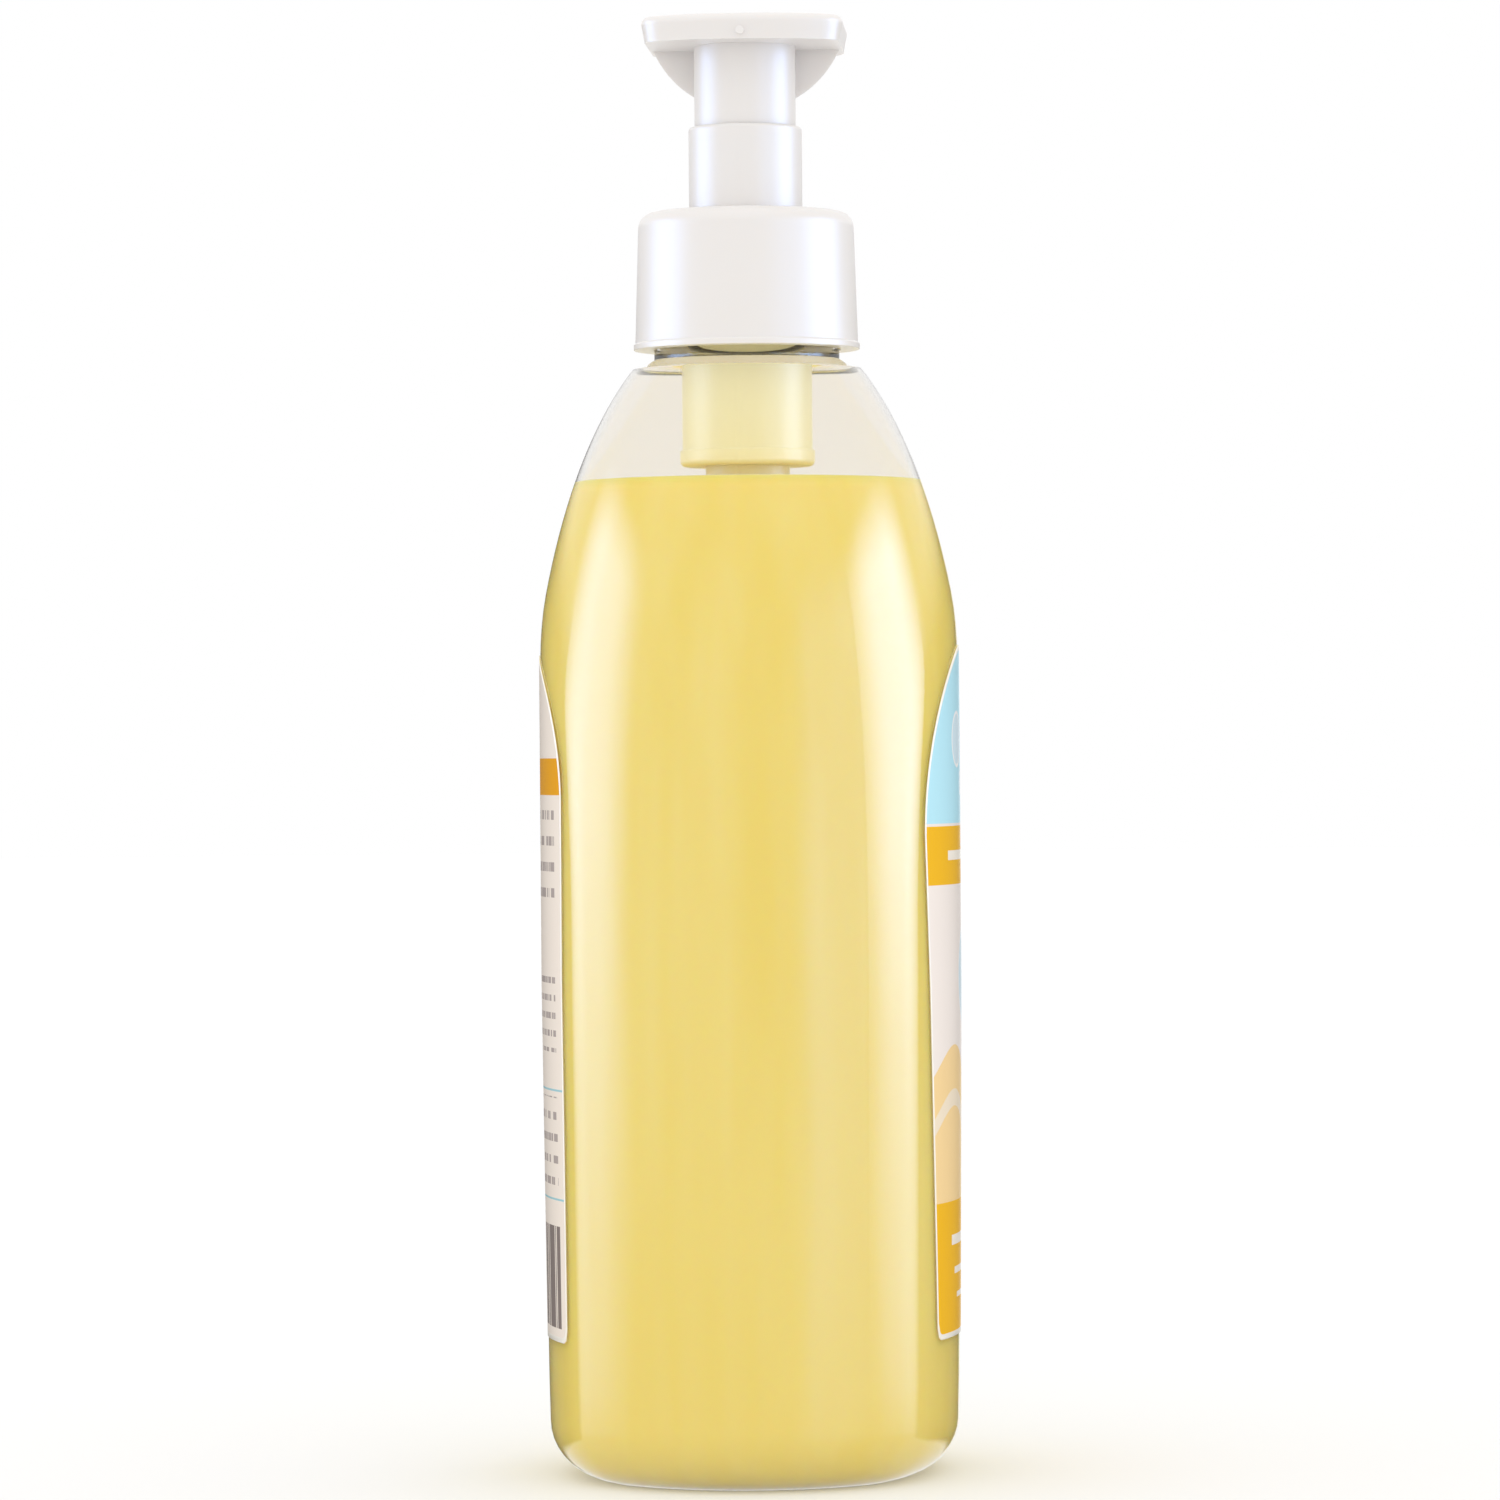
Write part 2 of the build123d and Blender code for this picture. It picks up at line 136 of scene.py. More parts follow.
# %% Soap material
def make_soap():
    material, tree, output, place = new_material("pearly_soap")
    upright = node(tree, "ShaderNodeMapping", {"Vector": place, "Scale": (1.0, 1.0, 0.09)})
    streaks = node(tree, "ShaderNodeTexNoise", {
        "Vector": upright.outputs["Vector"], "Scale": per_metre(9), "Detail": 3.0, "Roughness": 0.55})
    spread = node(tree, "ShaderNodeMapRange", {
        "Value": streaks.outputs["Fac"], "From Min": 0.35, "From Max": 0.7, "To Min": 0.0, "To Max": 1.0})
    shade = node(tree, "ShaderNodeMix", {
        "Factor": spread.outputs[0], 6: linear("#ECD670"), 7: linear("#EEDB84")}, data_type="RGBA")
    soap = node(tree, "ShaderNodeBsdfPrincipled", {
        "Base Color": shade.outputs[2], "Roughness": 0.35, "IOR": 1.36, "Specular IOR Level": 0.0,
        "Subsurface Weight": 0.6, "Subsurface Radius": (1.0, 0.7, 0.22), "Subsurface Scale": 4 * MM,
    })
    tree.links.new(soap.outputs[0], output.inputs["Surface"])
    return material


pearly_soap = make_soap()

# %% [markdown]
# ## Moulded polypropylene
# The collar, chaplet and head are injection moulded in white polypropylene, with a satin skin copied from a
# fine-sparked mould. Light goes a little way into the plastic, which keeps its shadows soft.


# %% White plastic material
def make_moulded(name, colour, depth_mm, milky=0.25, roughness=0.32):
    material, tree, output, place = new_material(name)
    # spark grain is about 0.05 mm on the real mould and drawn at 0.4 mm so that it shows
    grain = node(tree, "ShaderNodeTexNoise", {"Vector": place, "Scale": per_metre(0.4), "Detail": 2.0})
    bump = node(tree, "ShaderNodeBump", {
        "Height": grain.outputs["Fac"], "Strength": 0.06, "Distance": 0.05 * MM})
    cloud = node(tree, "ShaderNodeTexNoise", {"Vector": place, "Scale": per_metre(14), "Detail": 2.0})
    sheen = node(tree, "ShaderNodeMapRange", {
        "Value": cloud.outputs["Fac"], "To Min": roughness - 0.04, "To Max": roughness + 0.06})
    plastic = node(tree, "ShaderNodeBsdfPrincipled", {
        "Base Color": linear(colour), "Roughness": sheen.outputs[0], "IOR": 1.49,
        "Subsurface Weight": milky, "Subsurface Radius": (1.0, 0.9, 0.8), "Subsurface Scale": depth_mm * MM,
        "Normal": bump.outputs["Normal"],
    })
    tree.links.new(plastic.outputs[0], output.inputs["Surface"])
    return material


white_pp = make_moulded("moulded_white_polypropylene", "#E8E4E1", 1.0)
# Housing and stem: milky polypropylene drawn pale yellow and very bright. This is partly the soap held in
# them and partly painted light: the soap's yellow bounce light, and a painted lift where little light reaches
# them inside the bottle.
soap_tinted_and_lit_pp = make_moulded("soap_tinted_and_lit_polypropylene", "#FFF5C2", 2.0)
natural_pe = make_moulded("natural_polyethylene", "#F1EEE0", 2.0, 0.4, 0.4)
foam = make_moulded("foamed_polyethylene", "#EDEDE8", 1.0, 0.25, 0.7)

# %% [markdown]
# ## Drawn steel
# The spring and the valve ball are bright stainless steel. Both sit inside the pump's housing.


# %% Steel material
def make_steel():
    material, tree, output, place = new_material("drawn_stainless_steel")
    lines = node(tree, "ShaderNodeTexNoise", {"Vector": place, "Scale": per_metre(0.5), "Detail": 2.0})
    rough = node(tree, "ShaderNodeMapRange", {"Value": lines.outputs["Fac"], "To Min": 0.18, "To Max": 0.34})
    steel = node(tree, "ShaderNodeBsdfPrincipled", {
        "Base Color": linear("#C9C8C5"), "Metallic": 1.0, "Roughness": rough.outputs[0]})
    tree.links.new(steel.outputs[0], output.inputs["Surface"])
    return material


steel = make_steel()

# %% [markdown]
# ## The bottle's rings
# Seen from above the body is an oval with two flattened label panels. The panels bow less than the oval, so
# soft creases bound them, and as the oval closes towards the neck the creases meet in an arch. One function
# gives the ring of points at any height, and every wall is a stack of such rings, each extruded from the one
# before.

# %% Sizes of the body, in millimetres
body_width, body_round, body_depth = 74.0, 68.0, 62.2
panel_radius, foot_draw = 55.0, 0.7
shoulder_start, shoulder_height, shoulder_power = 72.6, 91.3, 2.8
shoulder_top = shoulder_start + shoulder_height
shoulder_radius = 17.1
crease_round = 0.9
parting_ridge = 0.05
RING_STEPS = 216
parting_turn = math.radians(0.4)
ring_turns = [2 * math.pi * step / RING_STEPS for step in range(RING_STEPS)]
ring_turns += [parting_turn, 2 * math.pi - parting_turn, math.pi - parting_turn, math.pi + parting_turn]
ring_turns.sort()


def oval_half(half, height):
    """Half width or half depth of the oval at a height, before its panels are flattened."""
    if height <= shoulder_start:
        return half - foot_draw * (shoulder_start - height) / shoulder_start
    rise = min(1, (height - shoulder_start) / shoulder_height)
    return half * math.sqrt(1 - (1 - (shoulder_radius / half) ** 2) * rise**shoulder_power)


def panel_crown(height):
    """Distance of a label panel's middle from the axis at a height."""
    return body_depth / 2 - foot_draw * max(0, 1 - height / shoulder_start)


def body_ring(height, inset=0.0, place=None, ridge=0.0):
    """Ring of the body at a height, drawn in by an inset. Place puts it at another height."""
    across = oval_half(body_width / 2, height) - inset
    along = oval_half(body_round / 2, height) - inset
    radius = panel_radius - inset
    centre = panel_crown(height) - panel_radius
    ring = []
    for turn in ring_turns:
        x, y = math.cos(turn), abs(math.sin(turn))
        oval = 1 / math.hypot(x / across, y / along)
        panel = y * centre + math.sqrt(radius**2 - (x * centre) ** 2)
        overlap = max(0, crease_round - abs(oval - panel))
        reach = min(oval, panel) - overlap**2 / (4 * crease_round)
        if abs(math.sin(turn)) < 1e-6:
            reach += ridge
        ring.append(Vector((reach * x, reach * math.sin(turn), height if place is None else place)) * MM)
    return ring


def round_ring(radius, height):
    """Ring of the neck, with its points in line with those of the body."""
    return [Vector((radius * math.cos(turn), radius * math.sin(turn), height)) * MM for turn in ring_turns]


def quarter(steps):
    """Angles from 0 to a quarter turn."""
    return [math.pi / 2 * step / steps for step in range(steps + 1)]


# %% [markdown]
# ## From rings to a mesh
# A circle from bmesh is moved onto the first ring, and its edges are extruded onto each further ring. Both
# ends are closed with a face, so the result is a closed shell. A number stored on each vertex says which
# point of the ring it is, and the extrusion copies it.


# %% Two helpers for pieces
def lofted(rings):
    """A closed shell through a stack of rings."""
    bm = bmesh.new()
    order = bm.verts.layers.int.new("order")
    bmesh.ops.create_circle(bm, segments=len(rings[0]), radius=1)
    bm.verts.ensure_lookup_table()
    for index, vert in enumerate(bm.verts):
        vert[order] = index
        vert.co = rings[0][index]
    edges = list(bm.edges)
    bmesh.ops.contextual_create(bm, geom=edges)
    for ring in rings[1:]:
        made = bmesh.ops.extrude_edge_only(bm, edges=edges)["geom"]
        for vert in (item for item in made if isinstance(item, bmesh.types.BMVert)):
            vert.co = ring[vert[order]]
        edges = [item for item in made if isinstance(item, bmesh.types.BMEdge) and item.is_boundary]
    bmesh.ops.contextual_create(bm, geom=edges)
    bmesh.ops.recalc_face_normals(bm, faces=bm.faces)
    return bm


def place_piece(bm, name, material, body, slot, *nodes):
    """Turns a bmesh into a finished piece that rides on a body and stands for its CAD nodes."""
    mesh = bpy.data.meshes.new(name)
    for face in bm.faces:
        face.smooth = True
    bm.to_mesh(mesh)
    bm.free()
    mesh.materials.append(material)
    piece = bpy.data.objects.new(name, mesh)
    bpy.context.scene.collection.objects.link(piece)
    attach(piece, body)
    if nodes:
        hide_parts(*nodes)
    print(name, "faces:", len(mesh.polygons))
    return piece


# %% [markdown]
# ## The PET shell
# The shell is one closed surface: from the middle of the push-up under the foot, out over the standing ring,
# up the outside, over the lip, and down the inside to the floor again. The heel is thicker than the wall,
# because the blown parison stretches least there.

# %% Foot and wall
body_wall, foot_wall, foot_round, heel_round = 0.8, 1.4, 8.0, 8.5
foot_ring, push_up = 11.0, 2.4


def foot_rings(inset, floor, rounding):
    """Rings from the middle of the push-up, out over the foot's corner."""
    margin = foot_draw + foot_ring - floor
    half_width, half_depth = body_width / 2 - margin, body_depth / 2 - margin
    rings = []
    for tilt in quarter(10)[1:]:
        spread, height = math.sin(tilt), floor + push_up * math.cos(tilt)
        rings.append([
            Vector((half_width * spread * math.cos(t), half_depth * spread * math.sin(t), height)) * MM
            for t in ring_turns
        ])
    for tilt in quarter(10):
        drawn = inset + rounding * (1 - math.sin(tilt))
        rings.append(body_ring(floor, drawn, floor + rounding * (1 - math.cos(tilt))))
    return rings


def wall_heights(start, stop):
    """Heights of a wall's rings: wide apart on the straight body, closer where the oval closes."""
    straight = [start + (shoulder_start - start) * step / 10 for step in range(1, 11)]
    dome = [shoulder_start + shoulder_height * math.sin(tilt) for tilt in quarter(48)[1:]]
    return [height for height in straight + dome if height < stop - 0.05]


# %% Bottle
neck_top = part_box("bottle")[1].z / MM
neck_radius, neck_bore, ring_radius = 12.6, 11.0, 13.8
flare_height, ring_height = 1.5, 2.8
neck_foot = shoulder_top + flare_height
thread_pitch, thread_turns, thread_lead = 4.23, 1.5, 2.2
thread_depth, thread_root, thread_crest = 1.1, 2.0, 0.9
THREAD_STEPS = 108


def add_thread(bm):
    """Adds the neck's thread: a small section that is spun around the axis and climbs as it goes."""
    climb = thread_pitch * thread_turns
    foot = neck_top - thread_lead - climb
    wall, crest = neck_radius - thread_depth / 4, neck_radius + thread_depth
    section = [
        (wall, -thread_root / 2), (crest, -thread_crest / 2),
        (crest, thread_crest / 2), (wall, thread_root / 2),
    ]
    corners = [bm.verts.new(Vector((radius, 0, foot + height)) * MM) for radius, height in section]
    bmesh.ops.spin(bm, geom=[bm.faces.new(corners)], axis=(0, 0, 1), cent=(0, 0, 0), steps=THREAD_STEPS,
                   dvec=(0, 0, climb / THREAD_STEPS * MM), angle=2 * math.pi * thread_turns)
    bmesh.ops.holes_fill(bm, edges=bm.edges)
    bmesh.ops.recalc_face_normals(bm, faces=bm.faces)
    return bm


def make_bottle():
    rings = foot_rings(0, 0, foot_round)
    rings += [body_ring(h, ridge=parting_ridge) for h in wall_heights(foot_round, shoulder_top)]
    flare = shoulder_radius - ring_radius
    for tilt in quarter(6):
        rings.append(round_ring(ring_radius + flare * (1 - math.sin(tilt)),
                                shoulder_top + flare_height * (1 - math.cos(tilt))))
    rings += [
        round_ring(ring_radius, neck_foot + ring_height - 0.3),
        round_ring(ring_radius - 0.1, neck_foot + ring_height - 0.1),
        round_ring(ring_radius - 0.3, neck_foot + ring_height),
        round_ring(neck_radius, neck_foot + ring_height + 0.05),
        round_ring(neck_radius, neck_top - 0.4),
        round_ring(neck_radius - 0.12, neck_top - 0.12),
        round_ring(neck_radius - 0.4, neck_top),
        round_ring(neck_bore + 0.2, neck_top),
        round_ring(neck_bore, neck_top - 0.2),
        round_ring(neck_bore, neck_foot + flare_height),
        round_ring(shoulder_radius - body_wall, shoulder_top),
    ]
    rings += [body_ring(h, body_wall) for h in wall_heights(foot_wall + heel_round, shoulder_top)[::-1]]
    rings += foot_rings(body_wall, foot_wall, heel_round)[::-1]
    return add_thread(lofted(rings))


place_piece(make_bottle(), "pet_shell", clear_pet, "bottle", "clear_pet", "bottle")

# %% [markdown]
# ## The soap
# The soap wets the wall, so no air shows between them. Its surface is drawn a touch inside the wall's
# thickness, and it climbs the wall in a small meniscus. A well leaves room for the pump and its dip tube.

# %% Soap
soap_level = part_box("soap_fill")[1].z / MM
wetting, meniscus, well_gap = 0.2, 0.5, 0.35
barrel_radius, tube_radius = 6.3, 2.8
socket_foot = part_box("pump_housing")[0].z / MM
tube_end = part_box("dip_tube")[0].z / MM


def make_soap_body():
    inset = body_wall - wetting
    floor = foot_wall - wetting
    rings = foot_rings(inset, floor, heel_round)
    rings += [body_ring(h, inset) for h in wall_heights(floor + heel_round, soap_level)]
    rings += [
        body_ring(soap_level, inset, soap_level + meniscus),
        body_ring(soap_level, inset + 0.35, soap_level + 0.12),
        body_ring(soap_level, inset + 1.0),
        body_ring(soap_level, inset + 8.0),
        round_ring(barrel_radius + 1.6, soap_level),
        round_ring(barrel_radius + well_gap, soap_level - 0.2),
        round_ring(barrel_radius + well_gap, socket_foot - well_gap),
        round_ring(tube_radius + well_gap, socket_foot - well_gap),
        round_ring(tube_radius + well_gap, tube_end - well_gap),
    ]
    return lofted(rings)


place_piece(make_soap_body(), "soap_body", pearly_soap, "bottle", "liquid_soap", "soap_fill")

# %% [markdown]
# ## Printed film
# Both labels are glossy plastic film. The print is fields of flat colour, laid out by height and width in
# millimetres on the label, so it is painted from the object's own coordinates. Thin bars stand for lines of
# small print. A number stored on the mesh, which is 1 at the cut edge, draws a thin pale line along that
# edge.


# %% Printing inks
label_foot = 20.6
rim_share = 0.985  # of the way from the label's middle to its cut edge


def start_film(name):
    """Material of a film, with the place across it and the height above its lower edge as sockets."""
    material, tree, output, place = new_material(name)
    on_label = node(tree, "ShaderNodeMapping", {"Vector": place, "Location": (0, 0, -label_foot * MM)})
    axes = node(tree, "ShaderNodeSeparateXYZ", {0: on_label.outputs[0]})
    return material, tree, output, axes.outputs["X"], axes.outputs["Z"]


def print_field(tree, shade, colour, *limits):
    """Prints a colour where each (socket, low, high) holds, in millimetres. Returns the new colour socket."""
    mask = None
    for socket, low, high in limits:
        centre, spread = (low + high) / 2 * MM, (high - low) / 2 * MM
        inside = node(tree, "ShaderNodeMath", {0: socket, 1: centre, 2: spread}, operation="COMPARE")
        inside = inside.outputs[0]
        if mask is None:
            mask = inside
        else:
            mask = node(tree, "ShaderNodeMath", {0: mask, 1: inside}, operation="MULTIPLY").outputs[0]
    printed = node(tree, "ShaderNodeMix", {"Factor": mask, 6: shade, 7: linear(colour)}, data_type="RGBA")
    return printed.outputs[2]


def finish_film(tree, output, shade, rim_colour):
    """Adds a thin pale line along the film's cut edge, and its gloss."""
    edge = node(tree, "ShaderNodeAttribute", attribute_name="rim")
    edge_line = node(tree, "ShaderNodeMath", {0: edge.outputs["Fac"], 1: rim_share}, operation="GREATER_THAN")
    shade = node(tree, "ShaderNodeMix", {"Factor": edge_line.outputs[0], 6: shade, 7: linear(rim_colour)},
                 data_type="RGBA")
    film = node(tree, "ShaderNodeBsdfPrincipled", {
        "Base Color": shade.outputs[2], "Roughness": 0.22, "IOR": 1.5, "Specular IOR Level": 0.3})
    tree.links.new(film.outputs[0], output.inputs["Surface"])


# %% [markdown]
# ### Front print
# A sky-blue top over an orange band, a white middle, a cream wave and an orange foot. A few pale bubbles are
# the only picture on it.

# %% Front film
bubbles = [(-6.0, 88.0, 4.2), (5.5, 92.0, 2.6), (8.5, 83.5, 3.2), (-1.0, 81.5, 1.8), (1.5, 53.0, 7.5)]
white_lines = [(70.2, 71.6, 13), (13.5, 15.0, 11), (9.2, 10.2, 9), (5.6, 6.4, 7)]


def make_front_film():
    material, tree, output, across, height = start_film("printed_front_film")
    wave = node(tree, "ShaderNodeMath", {0: across, 1: 2 * math.pi / (38 * MM)}, operation="MULTIPLY")
    wave = node(tree, "ShaderNodeMath", {0: wave.outputs[0]}, operation="SINE")
    wave = node(tree, "ShaderNodeMath", {0: wave.outputs[0], 1: 4 * MM, 2: height}, operation="MULTIPLY_ADD")
    waved = wave.outputs[0]
    shade = print_field(tree, linear("#FBF1EA"), "#BEF0FF", (height, 75.6, 120))
    shade = print_field(tree, shade, "#FBC010", (height, 66.6, 75.2))
    shade = print_field(tree, shade, "#FFDDA0", (waved, 12, 39))
    shade = print_field(tree, shade, "#FBEBD2", (waved, 30, 32.5))
    shade = print_field(tree, shade, "#FBC010", (height, -1, 20))
    for low, high, half in white_lines:
        shade = print_field(tree, shade, "#FFF7EA", (height, low, high), (across, -half, half))
    for x, z, radius in bubbles:
        spot = node(tree, "ShaderNodeCombineXYZ", {0: across, 2: height})
        gap = node(tree, "ShaderNodeVectorMath", {0: spot.outputs[0], 1: (x * MM, 0, z * MM)},
                   operation="DISTANCE")
        shade = print_field(tree, shade, "#DDF2FC", (gap.outputs["Value"], 0, radius))
        shade = print_field(tree, shade, "#FFFFFF", (gap.outputs["Value"], radius - 0.5, radius))
    finish_film(tree, output, shade, "#FBF6EC")
    return material


front_film = make_front_film()

# %% [markdown]
# ### Back print
# White film with an orange band, blocks of small grey print and a bar code near one edge. Noise along the
# lines breaks the print into words, and noise across the code varies its bars. Neither can be read.

# %% Back film
small_print = [(63.5, 78, 3.8), (42.5, 55, 2.6), (22.5, 36, 3.2)]
code_bars = (-19.5, -5.0, 2.0, 17.0)


def make_back_film():
    material, tree, output, across, height = start_film("printed_back_film")
    shade = print_field(tree, linear("#FBEFE3"), "#F0A800", (height, 80.2, 85.6))
    for low, high, pitch in small_print:
        line = node(tree, "ShaderNodeMath", {0: height, 1: pitch * MM}, operation="FLOORED_MODULO").outputs[0]
        row = node(tree, "ShaderNodeMath", {0: height, 1: pitch * MM}, operation="SNAP").outputs[0]
        spot = node(tree, "ShaderNodeCombineXYZ", {0: across, 1: row}).outputs[0]
        words = node(tree, "ShaderNodeTexNoise", {"Vector": spot, "Scale": per_metre(0.9), "Detail": 1.0})
        inked = node(tree, "ShaderNodeMath", {0: words.outputs["Fac"], 1: MM}, operation="MULTIPLY")
        shade = print_field(tree, shade, "#B7ABA6", (line, 0.6, 0.6 + pitch * 0.36), (height, low, high),
                            (across, -19, 19), (inked.outputs[0], 0.46, 1))
    for low, high in ((36.8, 37.1), (20.8, 21.1)):
        shade = print_field(tree, shade, "#A9D6DE", (height, low, high))
    left, right, low, high = code_bars
    bars = node(tree, "ShaderNodeMath", {0: across, 1: 0.45 * MM}, operation="SNAP").outputs[0]
    bars = node(tree, "ShaderNodeTexWhiteNoise", {"W": bars}, noise_dimensions="1D")
    inked = node(tree, "ShaderNodeMath", {0: bars.outputs["Value"], 1: MM}, operation="MULTIPLY").outputs[0]
    shade = print_field(tree, shade, "#8A7D78", (height, low, high), (across, left, right), (inked, 0.5, 1))
    finish_film(tree, output, shade, "#FBF6EC")
    return material


back_film = make_back_film()

# %% [markdown]
# ## Labels
# Each label has an arched top and lies on its panel. Its outline is drawn once as a ring, and smaller copies
# of the ring run in to its middle, on the back of the film and then on its front, so the film has a
# thickness and bends with the panel.

# %% Label shapes
label_width, label_round = 44.0, 1.5
label_thickness, seat_gap = 0.12, 0.02
ARCH_STEPS, SIDE_STEPS, FOOT_STEPS = 64, 40, 30


def label_outline(foot_width, arch_start, arch_rise):
    """Points (x, z) around a label: up over its arch, down one side, along the foot and up the other side."""
    half, foot_half = label_width / 2, foot_width / 2
    points = []
    for step in range(ARCH_STEPS):
        turn = math.pi * step / ARCH_STEPS
        points.append(Vector((half * math.cos(turn), arch_start + arch_rise * math.sin(turn))))
    corners = [(-half, arch_start), (-foot_half, label_foot), (foot_half, label_foot), (half, arch_start)]
    for start, stop, steps in zip(corners, corners[1:], (SIDE_STEPS, FOOT_STEPS, SIDE_STEPS)):
        points += [Vector(start).lerp(Vector(stop), step / steps) for step in range(steps)]
    for point in points:
        over = abs(point.x) - (foot_half - label_round)
        below = label_foot + label_round - point.y
        if over > 0 and below > 0 and math.hypot(over, below) > label_round:
            shrink = label_round / math.hypot(over, below)
            point.x = math.copysign(foot_half - label_round + over * shrink, point.x)
            point.y = label_foot + label_round - below * shrink
    return points


def make_label(side, foot_width, arch_start, arch_rise):
    outline = label_outline(foot_width, arch_start, arch_rise)
    middle = Vector((0, (label_foot + arch_start + arch_rise) / 2))
    shares = [0.02] + [step / 22 for step in range(1, 22)] + [rim_share, 1.0]
    rings = []
    for stand, spread in ((seat_gap, shares), (seat_gap + label_thickness, shares[::-1])):
        for share in spread:
            ring = []
            for point in outline:
                x, z = middle.lerp(point, share)
                bow = panel_radius - math.sqrt(panel_radius**2 - x**2)
                ring.append(Vector((x, side * (panel_crown(z) - bow + stand), z)) * MM)
            rings.append(ring)
    bm = lofted(rings)
    rim = bm.verts.layers.float.new("rim")
    order = bm.verts.layers.int["order"]
    for vert in bm.verts:
        point = Vector((vert.co.x, vert.co.z)) / MM
        vert[rim] = (point - middle).length / (outline[vert[order]] - middle).length
    return bm


front_shape, back_shape = (35.2, 94.6, 28.0), (43.2, 99.6, 22.0)
place_piece(make_label(-1, *front_shape), "front_print", front_film, "bottle", "front_film", "front_label")
place_piece(make_label(1, *back_shape), "back_print", back_film, "bottle", "back_film", "back_label")

# %% [markdown]
# ## CAD pieces that keep their shape
# The pump's turned and moulded pieces come straight from the CAD model. They only need their finish.

# %% Finishes of the pump's pieces
finishes = {
    "screw_collar": white_pp, "chaplet": white_pp, "pump_head": white_pp,
    "pump_housing": soap_tinted_and_lit_pp, "stem": soap_tinted_and_lit_pp,
    "dip_tube": natural_pe, "piston": natural_pe, "piston_seat": natural_pe,
    "gasket": foam, "inlet_ball": steel,
}
for name, material in finishes.items():
    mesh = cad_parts[name].data
    mesh.materials.clear()
    mesh.materials.append(material)
print("finished:", len(finishes))

# %% [markdown]
# ## Return spring
# The spring stands in the cup and carries the stem's flange. Its coil is the CAD model's.

# %% Spring
coil = bmesh.new()
coil.from_mesh(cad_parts["return_spring"].data)
bmesh.ops.transform(coil, matrix=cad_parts["return_spring"].matrix_world, verts=coil.verts)
spring = place_piece(coil, "return_coil", steel, "pump_body", "steel", "return_spring")
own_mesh(spring)

# %% [markdown]
# ## Studio
# The bottle stands on a pale table in a white room. What the camera sees of the table is lifted to about the
# same white as the room, and the shadow on it stays. The lift puts no light on the bottle. The table is
# hidden from reflections, because the softboxes reach down past its edge.


# %% Floor
table_lift = 0.08
table_gap = 0.05


def make_floor():
    material, tree, output, place = new_material("pale_table")
    ray = node(tree, "ShaderNodeLightPath")
    seen = node(tree, "ShaderNodeMath", {
        0: ray.outputs["Is Camera Ray"], 1: ray.outputs["Is Transmission Ray"]}, operation="MAXIMUM")
    lift = node(tree, "ShaderNodeMath", {0: seen.outputs[0], 1: table_lift}, operation="MULTIPLY")
    sheet = node(tree, "ShaderNodeBsdfDiffuse", {"Color": linear("#E7E7E7")})
    glow = node(tree, "ShaderNodeEmission", {"Color": linear("#FFFFFF"), "Strength": lift.outputs[0]})
    lit = node(tree, "ShaderNodeAddShader", {0: sheet.outputs[0], 1: glow.outputs[0]})
    tree.links.new(lit.outputs[0], output.inputs["Surface"])
    bm = bmesh.new()
    bmesh.ops.create_circle(bm, cap_ends=True, segments=96, radius=6.0)
    mesh = bpy.data.meshes.new("floor")
    bm.to_mesh(mesh)
    bm.free()
    mesh.materials.append(material)
    floor = bpy.data.objects.new("floor", mesh)
    floor.location.z = -table_gap * MM
    floor.visible_glossy = False
    bpy.context.scene.collection.objects.link(floor)


make_floor()

# %% [markdown]
# The room lights the bottle evenly, at a level at which colours come out about as they are written. Cameras,
# mirrors and clear things see it at a strength of 1, which is white.

# %% World
FILL_LIGHT = 1.18
world = bpy.data.worlds.new("white_room")
world.use_nodes = True
sky = world.node_tree
sky.nodes.clear()
ray = node(sky, "ShaderNodeLightPath")
seen = node(sky, "ShaderNodeMath", {0: ray.outputs["Is Camera Ray"], 1: ray.outputs["Is Glossy Ray"]},
            operation="MAXIMUM")
seen = node(sky, "ShaderNodeMath", {0: seen.outputs[0], 1: ray.outputs["Is Transmission Ray"]},
            operation="MAXIMUM")
fill = node(sky, "ShaderNodeBackground", {"Color": linear("#FFFFFF"), "Strength": FILL_LIGHT})
white = node(sky, "ShaderNodeBackground", {"Color": linear("#FFFFFF"), "Strength": 1.0})
mix = node(sky, "ShaderNodeMixShader", {0: seen.outputs[0], 1: fill.outputs[0], 2: white.outputs[0]})
node(sky, "ShaderNodeOutputWorld", {"Surface": mix.outputs[0]})
bpy.context.scene.world = world

# %% [markdown]
# ## Softboxes and flags
# A tall softbox on each side draws the long highlight down the bottle. It fades towards its edges, as a
# diffuser does. A weak reflector on the right carries its light on towards the camera. Further round stand
# dark flags, which photographers use so that the edges of clear things don't vanish against white.


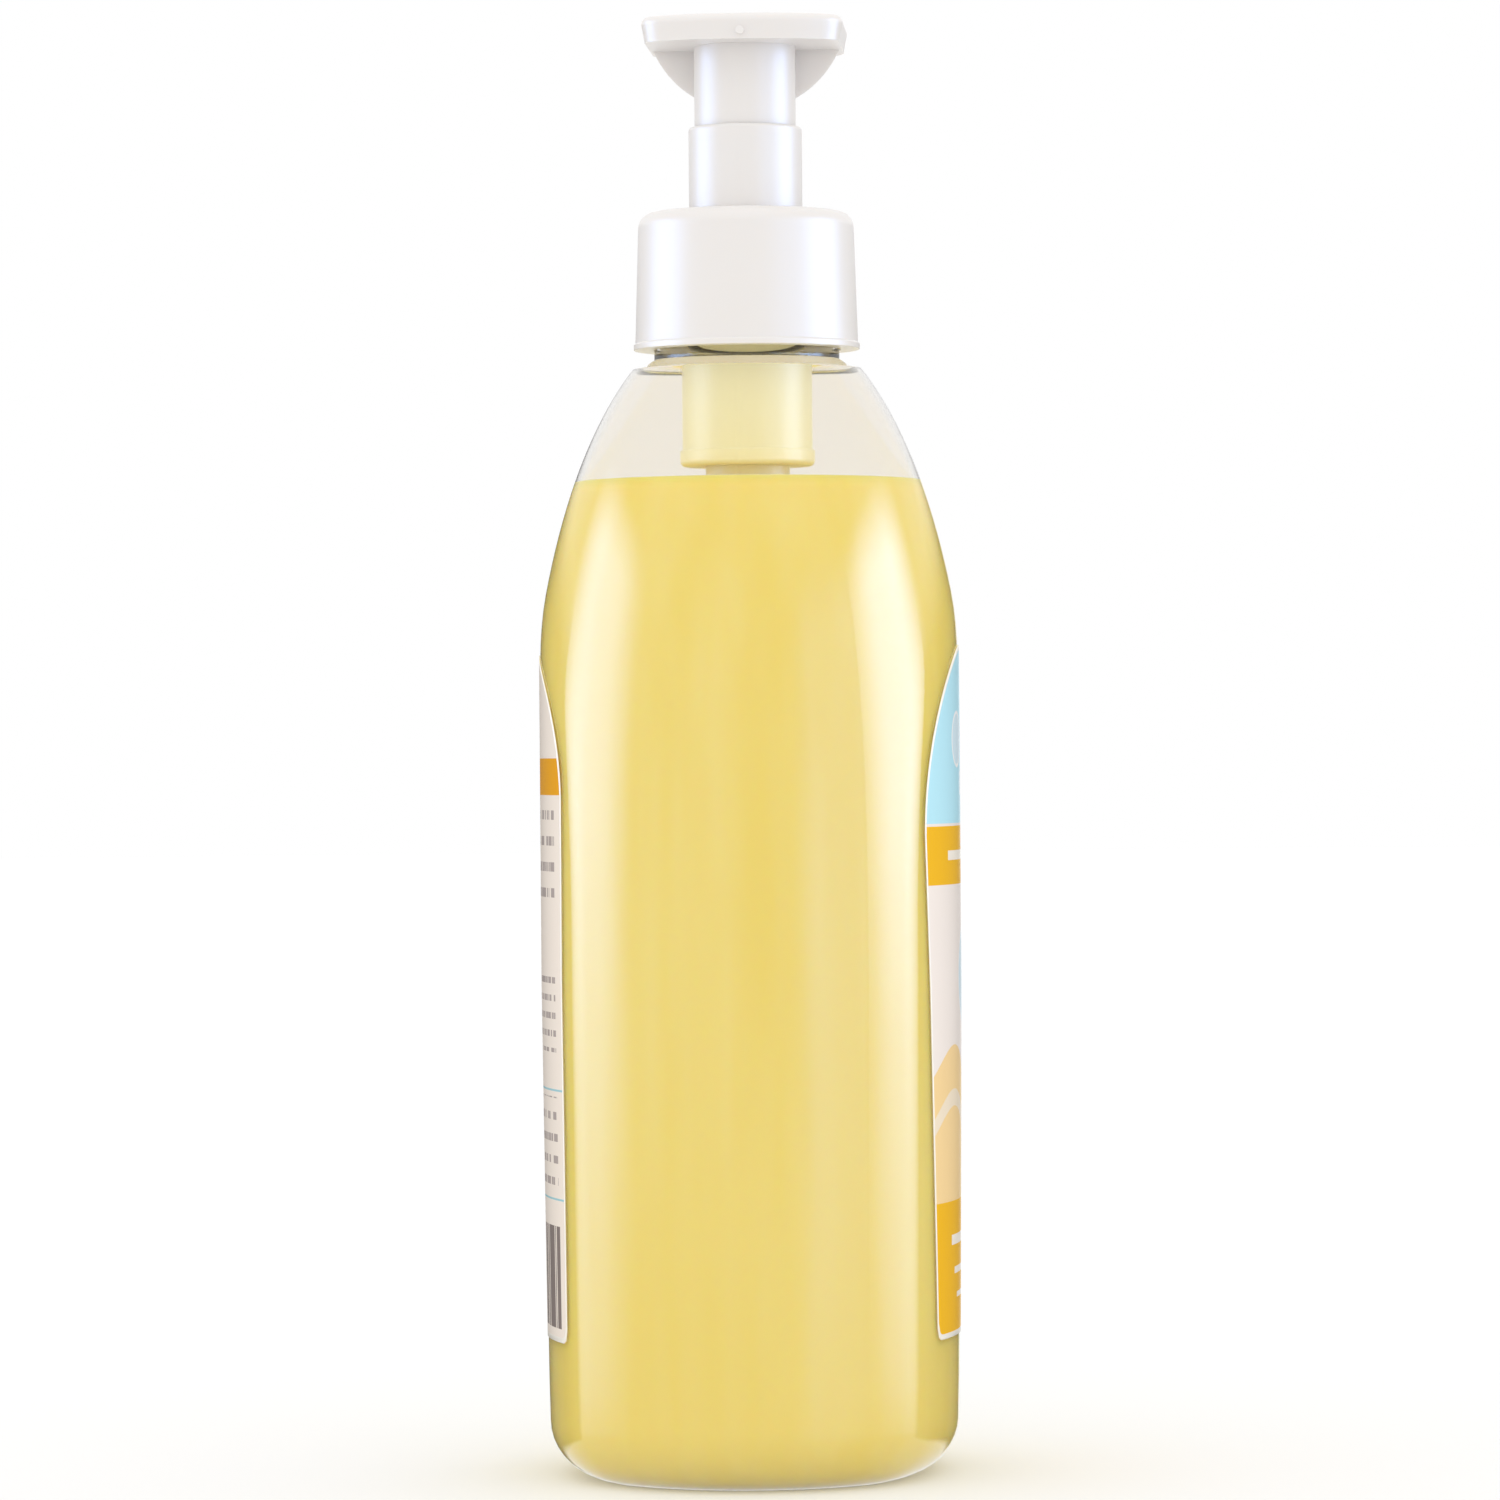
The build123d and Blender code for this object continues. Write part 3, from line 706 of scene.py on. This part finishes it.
# %% Softboxes and flags
def add_panel(name, turn_deg, distance, width, foot, top, colour, glow, fades):
    """An upright stage panel that faces the bottle and shows in reflections only.

    Turn 0 is the camera's side and 90 the front label's. The fades are the widths over which it fades out at
    its edges: towards the camera, away from it, at the foot and at the top.
    """
    turn = math.radians(turn_deg)
    outward = Vector((-math.cos(turn), -math.sin(turn), 0))
    height = top - foot
    bm = bmesh.new()
    bmesh.ops.create_grid(bm, x_segments=1, y_segments=1, size=0.5)
    bmesh.ops.transform(bm, matrix=Matrix.Diagonal((width, height, 1, 1)), verts=bm.verts)
    mesh = bpy.data.meshes.new(name)
    bm.to_mesh(mesh)
    bm.free()
    panel = bpy.data.objects.new(name, mesh)
    stand = Matrix.Translation(outward * distance + Vector((0, 0, (foot + top) / 2)))
    panel.matrix_world = stand @ outward.to_track_quat("Z", "Y").to_matrix().to_4x4()
    panel.visible_camera = False
    panel.visible_diffuse = False
    panel.visible_shadow = False
    panel.visible_transmission = False
    bpy.context.scene.collection.objects.link(panel)

    material, tree, output, place = new_material(name)
    axes = node(tree, "ShaderNodeSeparateXYZ", {0: place})
    near = -math.copysign(width / 2, turn)
    edges = [("X", near), ("X", -near), ("Y", -height / 2), ("Y", height / 2)]
    shown = 1.0
    for (axis, edge), fade in zip(edges, fades):
        full = edge - math.copysign(fade, edge)
        ramp = node(tree, "ShaderNodeMapRange", {
            "Value": axes.outputs[axis], "From Min": edge, "From Max": full}, interpolation_type="SMOOTHSTEP")
        shown = node(tree, "ShaderNodeMath", {0: shown, 1: ramp.outputs[0]}, operation="MULTIPLY").outputs[0]
    lamp = node(tree, "ShaderNodeEmission", {"Color": linear(colour), "Strength": glow})
    clear = node(tree, "ShaderNodeBsdfTransparent")
    mix = node(tree, "ShaderNodeMixShader", {0: shown, 1: clear.outputs[0], 2: lamp.outputs[0]})
    tree.links.new(mix.outputs[0], output.inputs["Surface"])
    mesh.materials.append(material)


cold_light, white_light = "#B0CCFF", "#FFFFFF"
box_fades = (0.34, 0.34, 0.31, 0.17)
flag_fades = (0.12, 0.06, 0.05, 0.10)
card_fades = (0.20, 0.10, 0.35, 0.20)
for side, sign, glow in (("left", -1, 8.3), ("right", 1, 11.0)):
    add_panel(f"softbox_{side}", sign * 90, 0.70, 0.84, -0.16, 0.54, cold_light, glow, box_fades)
    add_panel(f"flag_{side}", sign * 140, 0.70, 0.86, -0.20, 0.30, white_light, 0.1, flag_fades)
add_panel("reflector", 48, 0.72, 0.60, -0.25, 0.54, cold_light, 3.0, card_fades)

# %% [markdown]
# ## Camera
# The photograph looks at the narrow side with a long lens, level with the middle of the bottle. Its distance
# follows from how little the collar's edge and the soap's surface bow, which are rings seen almost edge on.

# %% Camera
FRAME_PIXELS, SENSOR_MM = 1500, 36.0
focal_pixels = 6710
camera_distance, camera_height = 1.000, 0.1072
camera_azimuth, camera_roll = math.radians(-87), math.radians(0.45)
lens = bpy.data.cameras.new("camera")
lens.sensor_width = SENSOR_MM
lens.lens = focal_pixels / FRAME_PIXELS * SENSOR_MM
camera = bpy.data.objects.new("camera", lens)
back = Vector((math.sin(camera_azimuth), -math.cos(camera_azimuth), 0))
camera.location = back * camera_distance + Vector((0, 0, camera_height))
turn = (-back).to_track_quat("-Z", "Y").to_matrix() @ Matrix.Rotation(-camera_roll, 3, "Z")
camera.rotation_euler = turn.to_euler()
lens.clip_start = 0.01
bpy.context.scene.collection.objects.link(camera)
bpy.context.scene.camera = camera
bpy.context.scene.view_settings.view_transform = "Standard"
